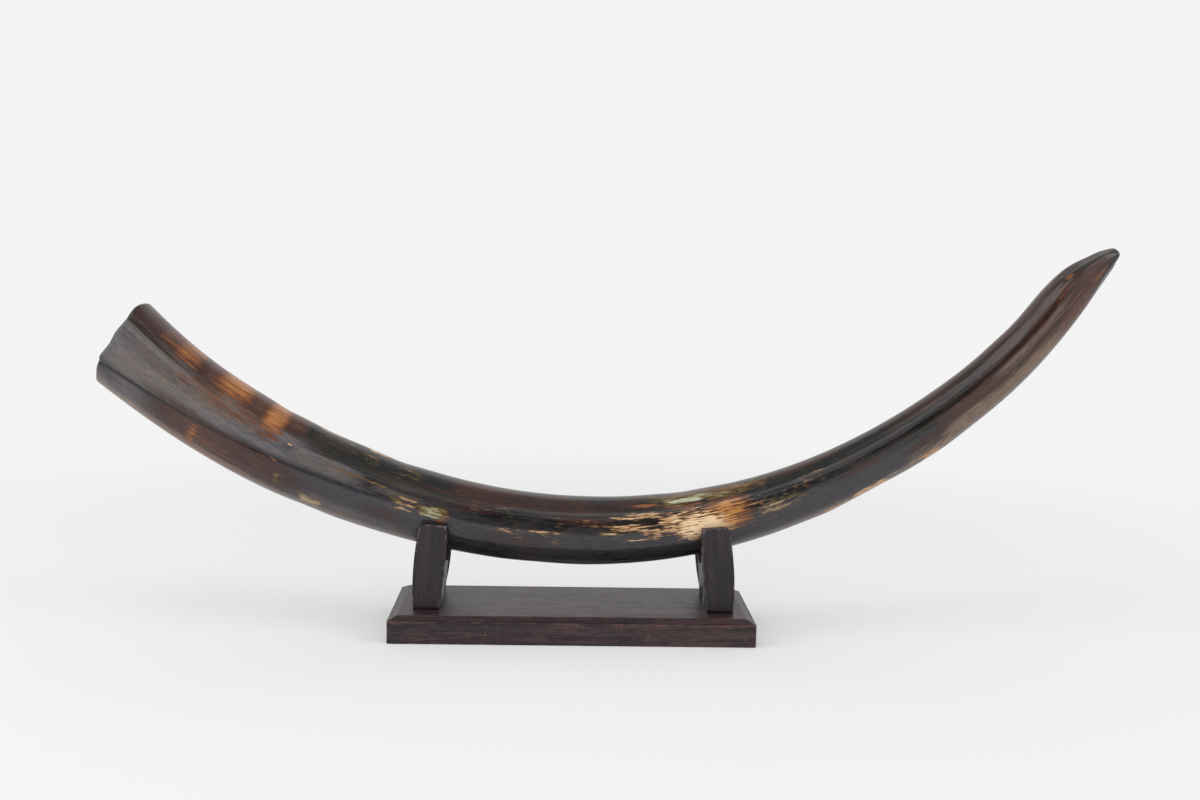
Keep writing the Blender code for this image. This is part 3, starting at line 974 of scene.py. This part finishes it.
def make_upright(name, axis, inner_x, side, material):
    """An upright: its outline, foot to prongs and down into the notch, through its thickness."""
    matrix = upright_matrix(inner_x, side)
    inverse = matrix.inverted()
    middle_x = inner_x + side * (UPRIGHT_THICKNESS - UPRIGHT_HEIGHT * math.sin(UPRIGHT_LEAN)) / 2
    place = axis.at_x(middle_x)
    nearby = np.array([place, place - UPRIGHT_THICKNESS / 2, place + UPRIGHT_THICKNESS / 2])
    middles, tops, fronts, radii = axis.at(nearby)
    origin = inverse @ Vector(middles[0])
    top, front = (inverse.to_3x3() @ Vector(each[0]) for each in (tops, fronts))
    along = top.cross(front)
    apex = (max(radii) + GAP) / math.sin(NOTCH_HALF_ANGLE)
    wide = max(radii) + NOTCH_SIDE_ROOM
    turn_up = wide / math.tan(NOTCH_HALF_ANGLE) - apex

    def notch_point(through, to_front, up):
        """Where a line of the notch, along the tusk, meets the board's section."""
        start = origin + front * to_front + top * up
        found = start + along * ((through - start.x) / along.x)
        found = start + along * ((float(bowed_depth(through, found.z)) - start.x) / along.x)
        return found.y, found.z

    sections = [(0, inset) for inset in FACE_INSETS]
    turns = [math.radians(k * 22.5) for k in range(5)]
    rounding = [(UPRIGHT_EASE * (1 - math.cos(t)), UPRIGHT_EASE * (1 - math.sin(t))) for t in turns]
    sections += rounding
    flat = np.linspace(UPRIGHT_EASE, UPRIGHT_THICKNESS - UPRIGHT_SHOULDER, 9)[1:]
    bowed = [UPRIGHT_SHOULDER * math.sin(math.radians(k * 9)) for k in range(1, 9)]
    sections += [(through, 0) for through in flat]
    sections += [(UPRIGHT_THICKNESS - UPRIGHT_SHOULDER + out, 0) for out in bowed]
    sections += [(UPRIGHT_THICKNESS - through, inset) for through, inset in rounding[::-1]]
    sections += [(UPRIGHT_THICKNESS, inset) for inset in FACE_INSETS[::-1]]

    rings = []
    for through, inset in sections:
        out = max(through - (UPRIGHT_THICKNESS - UPRIGHT_SHOULDER), 0)
        drop = UPRIGHT_SHOULDER - math.sqrt(max(UPRIGHT_SHOULDER**2 - out**2, 0))
        rim = UPRIGHT_HEIGHT - drop - inset
        half = UPRIGHT_DEPTH / 2 - inset
        across = side * through
        foot = (BASE_TOP + GAP - matrix[2][3] - matrix[2][0] * across) / matrix[2][2]
        outline = [(-half, foot, 0, 24), (-half, rim, UPRIGHT_ROUND, 4)]
        for hand in (1, -1):
            corner = notch_point(across, hand * (wide + inset), turn_up)
            above = notch_point(across, hand * (wide + inset), turn_up + NOTCH_REACH)
            share = (rim - corner[1]) / (above[1] - corner[1])
            mouth = corner[0] + share * (above[0] - corner[0])
            half_notch = [(mouth, rim, NOTCH_MOUTH_EASE, 8), (*corner, NOTCH_CORNER_EASE, 20)]
            if hand == 1:
                outline += half_notch
                bottom = notch_point(across, 0, -apex - inset)
                outline.append((*bottom, NOTCH_BOTTOM_EASE, 20))
            else:
                outline.append((*corner, NOTCH_CORNER_EASE, 8))
                outline.append((mouth, rim, NOTCH_MOUTH_EASE, 4))
        outline += [(half, rim, UPRIGHT_ROUND, 24), (half, foot, 0, 30)]
        section = rounded_path(outline, closed=True)
        rings.append(np.column_stack([np.full(len(section), across), section]))

    rings = [np.column_stack([bowed_depth(ring[:, 0], ring[:, 2]), ring]) for ring in rings]
    local = np.concatenate(rings)[:, [0, 2, 3]]
    x, y, z = np.abs(np.concatenate(rings)[:, 1]), local[:, 1], local[:, 2]
    from_axis = local - np.array(origin)
    from_axis -= np.outer(from_axis[:, 0] / along.x, along)
    to_front, up = np.abs(from_axis @ np.array(front)), from_axis @ np.array(top)
    slope = to_front * math.cos(NOTCH_HALF_ANGLE) - (up + apex) * math.sin(NOTCH_HALF_ANGLE)
    notch = np.maximum(slope, to_front - wide)
    away = second_smallest(
        [x, UPRIGHT_THICKNESS - x, UPRIGHT_DEPTH / 2 - np.abs(y), UPRIGHT_HEIGHT - z, notch]
    )
    grain = np.stack([z, y, local[:, 0] + side], axis=1)
    turned = np.array(matrix.to_3x3())
    rings = [ring[:, [0, 2, 3]] @ turned.T + np.array(matrix.translation) for ring in rings]
    # Painted shade along the upright's foot, where it meets the base.
    hollow_shade = bump(z, UPRIGHT_FOOT_REACH)
    return finish_wood(name + "_surface", rings, away, hollow_shade, grain, material)


def wood_material(name, red, dark, worn):
    """Dark stained hardwood: long pores, soft figure and reddish worn edges."""
    material = bpy.data.materials.new(name)
    n = Nodes(material)
    grain = n.attribute("grain", "Vector")
    figure = n.noise(grain, (0.110, 0.010, 0.006), 3, 0.5, 0.6)
    pores = n.noise(grain, (0.016, 0.0009, 0.0009), 2, 0.6)
    mottle = n.noise(grain, (0.012, 0.005, 0.005), 4, 0.6)
    tone = n.sum(figure, n.weighted(pores, 0.5, 0.7), n.weighted(mottle, 0.5, 0.5))
    colour = n.mix(n.step(tone, 0.35, 0.70), dark, red)
    edge = n.attribute("edge")
    wear = n.sum(edge, n.weighted(mottle, 0.5, 1.6), n.weighted(pores, 0.5, 0.6))
    colour = n.mix(n.step(wear, 0.80, 1.25, 0, 0.9), colour, worn)
    # Painted shade at the foot of the bevel and of the uprights.
    colour = n.mix(n.step(n.attribute("hollow_shade"), 0.2, 0.9, 0, 0.85), colour, HOLLOW_SHADE_COLOUR)
    speck = n.noise(grain, (0.0030, 0.0016, 0.0016), 1, 0.5)
    colour = n.mix(n.step(speck, 0.74, 0.80, 0, 0.7), colour, (0.30, 0.24, 0.21))
    roughness = n.sum(n.step(pores, 0.3, 0.7, 0.52, 0.40), n.weighted(mottle, 0.5, 0.2))
    n.surface(
        Base_Color=colour,
        Roughness=roughness,
        Specular_IOR_Level=0.32,
        Normal=n.bump(n.sum(pores, n.weighted(mottle, 0.5, 0.6)), 0.0002),
    )
    return material


def make_stand(axis):
    """The base board and the uprights, each with the node that it stands for."""
    base_wood = wood_material("dark_wood_base", *BASE_WOOD)
    prong_wood = wood_material("dark_wood_upright", *UPRIGHT_WOOD)
    return [
        (make_base(base_wood), "base_board"),
        (make_upright("upright_left", axis, LEFT_INNER_X, -1, prong_wood), "upright_left"),
        (make_upright("upright_right", axis, RIGHT_INNER_X, 1, prong_wood), "upright_right"),
    ]


def make_floor():
    """A round pale floor that fades into the backdrop."""
    bm = bmesh.new()
    bmesh.ops.create_circle(bm, cap_ends=True, radius=FLOOR_RADIUS, segments=96)
    mesh = bpy.data.meshes.new("floor")
    bm.to_mesh(mesh)
    bm.free()
    floor = bpy.data.objects.new("floor", mesh)
    bpy.context.scene.collection.objects.link(floor)
    material = bpy.data.materials.new("pale_floor")
    n = Nodes(material)
    place = n.add("TexCoord").outputs["Object"]
    away = n.add("VectorMath", operation="LENGTH")
    n.join(place, away.inputs[0])
    diffuse = n.add("BsdfDiffuse")
    n.join((FLOOR_ALBEDO,) * 3, diffuse.inputs["Color"])
    glow = n.add("Emission")
    n.join((FLOOR_GLOW,) * 3, glow.inputs["Color"])
    softened = n.add("MixShader")
    n.join(FLOOR_GLOW_SHARE, softened.inputs[0])
    n.join(diffuse.outputs[0], softened.inputs[1])
    n.join(glow.outputs[0], softened.inputs[2])
    clear = n.add("BsdfTransparent")
    mixed = n.add("MixShader")
    n.join(n.step(away.outputs["Value"], *FLOOR_FADES), mixed.inputs[0])
    n.join(softened.outputs[0], mixed.inputs[1])
    n.join(clear.outputs[0], mixed.inputs[2])
    n.join(mixed.outputs[0], n.add("OutputMaterial").inputs["Surface"])
    mesh.materials.append(material)


def make_world():
    """White walls all round, a dimmer ceiling and a glow high at the back."""
    world = bpy.data.worlds.new("studio")
    bpy.context.scene.world = world
    n = Nodes(world)
    split = n.add("SeparateXYZ")
    n.join(n.add("TexCoord").outputs["Generated"], split.inputs[0])
    height = split.outputs["Z"]
    walls = n.step(height, *CEILING_BEGINS, WORLD_WALLS, WORLD_CEILING)
    rise = n.math("SUBTRACT", n.step(height, *GLOW_BEGINS), n.step(height, *GLOW_ENDS))
    glow = n.math("MULTIPLY", rise, n.step(split.outputs["Y"], *GLOW_DEPTHS, 0, WORLD_BACK))
    light = n.math("ADD", walls, glow)
    shown = n.mix(n.add("LightPath").outputs["Is Camera Ray"], light, (BACKDROP,) * 3)
    background = n.add("Background")
    n.join(shown, background.inputs["Color"])
    output = n.add("OutputWorld")
    n.tree.links.new(background.outputs[0], output.inputs["Surface"])


def make_card():
    """The black card that the polish reflects as a dark line. It shades nothing."""
    half_width, height, distance = CARD
    bm = bmesh.new()
    corners = ((-half_width, 0), (half_width, 0), (half_width, height), (-half_width, height))
    bm.faces.new([bm.verts.new((x, -distance, z)) for x, z in corners])
    mesh = bpy.data.meshes.new("card")
    bm.to_mesh(mesh)
    bm.free()
    card = bpy.data.objects.new("card", mesh)
    bpy.context.scene.collection.objects.link(card)
    material = bpy.data.materials.new("black_card")
    n = Nodes(material)
    n.surface(Base_Color=(0.02, 0.02, 0.02), Roughness=0.8)
    mesh.materials.append(material)
    for kind in ("camera", "diffuse", "shadow", "transmission", "volume_scatter"):
        setattr(card, "visible_" + kind, False)


def make_softbox(name, place, target, width, height, radiance, reflected):
    """A rectangular light at a place, turned to face its target."""
    light = bpy.data.lights.new(name, "AREA")
    light.shape = "RECTANGLE"
    light.size = width
    light.size_y = height
    light.energy = radiance * math.pi * width * height
    light.color = LIGHT_TINT
    holder = bpy.data.objects.new(name, light)
    holder.location = place
    holder.rotation_mode = "QUATERNION"
    holder.rotation_quaternion = (Vector(place) - Vector(target)).to_track_quat("Z", "Y")
    holder.visible_camera = False
    holder.visible_glossy = reflected
    bpy.context.scene.collection.objects.link(holder)


def make_camera():
    """The photograph's camera, looking along +Y before it is turned."""
    right = Vector((math.cos(CAMERA_YAW), math.sin(CAMERA_YAW), 0))
    ahead = Vector(
        (
            -math.sin(CAMERA_YAW) * math.cos(CAMERA_PITCH),
            math.cos(CAMERA_YAW) * math.cos(CAMERA_PITCH),
            -math.sin(CAMERA_PITCH),
        )
    )
    up = right.cross(ahead)
    rolled_right = math.cos(CAMERA_ROLL) * right + math.sin(CAMERA_ROLL) * up
    rolled_up = math.cos(CAMERA_ROLL) * up - math.sin(CAMERA_ROLL) * right
    data = bpy.data.cameras.new("camera")
    data.lens = CAMERA_LENS
    data.sensor_width = SENSOR_WIDTH
    camera = bpy.data.objects.new("camera", data)
    turned = Matrix((rolled_right, rolled_up, -ahead)).transposed().to_4x4()
    camera.matrix_world = Matrix.Translation(CAMERA_PLACE) @ turned
    bpy.context.scene.collection.objects.link(camera)
    bpy.context.scene.camera = camera


make_camera()
make_world()
make_floor()
make_card()
for softbox in SOFTBOXES:
    make_softbox(*softbox)
bpy.context.scene.view_settings.view_transform = "Standard"

tusk_axis = Axis()
tusk = make_tusk(tusk_axis, ivory_material())
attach(tusk, "root")
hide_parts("tusk")
for piece, node in make_stand(tusk_axis):
    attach(piece, "root")
    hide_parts(node)
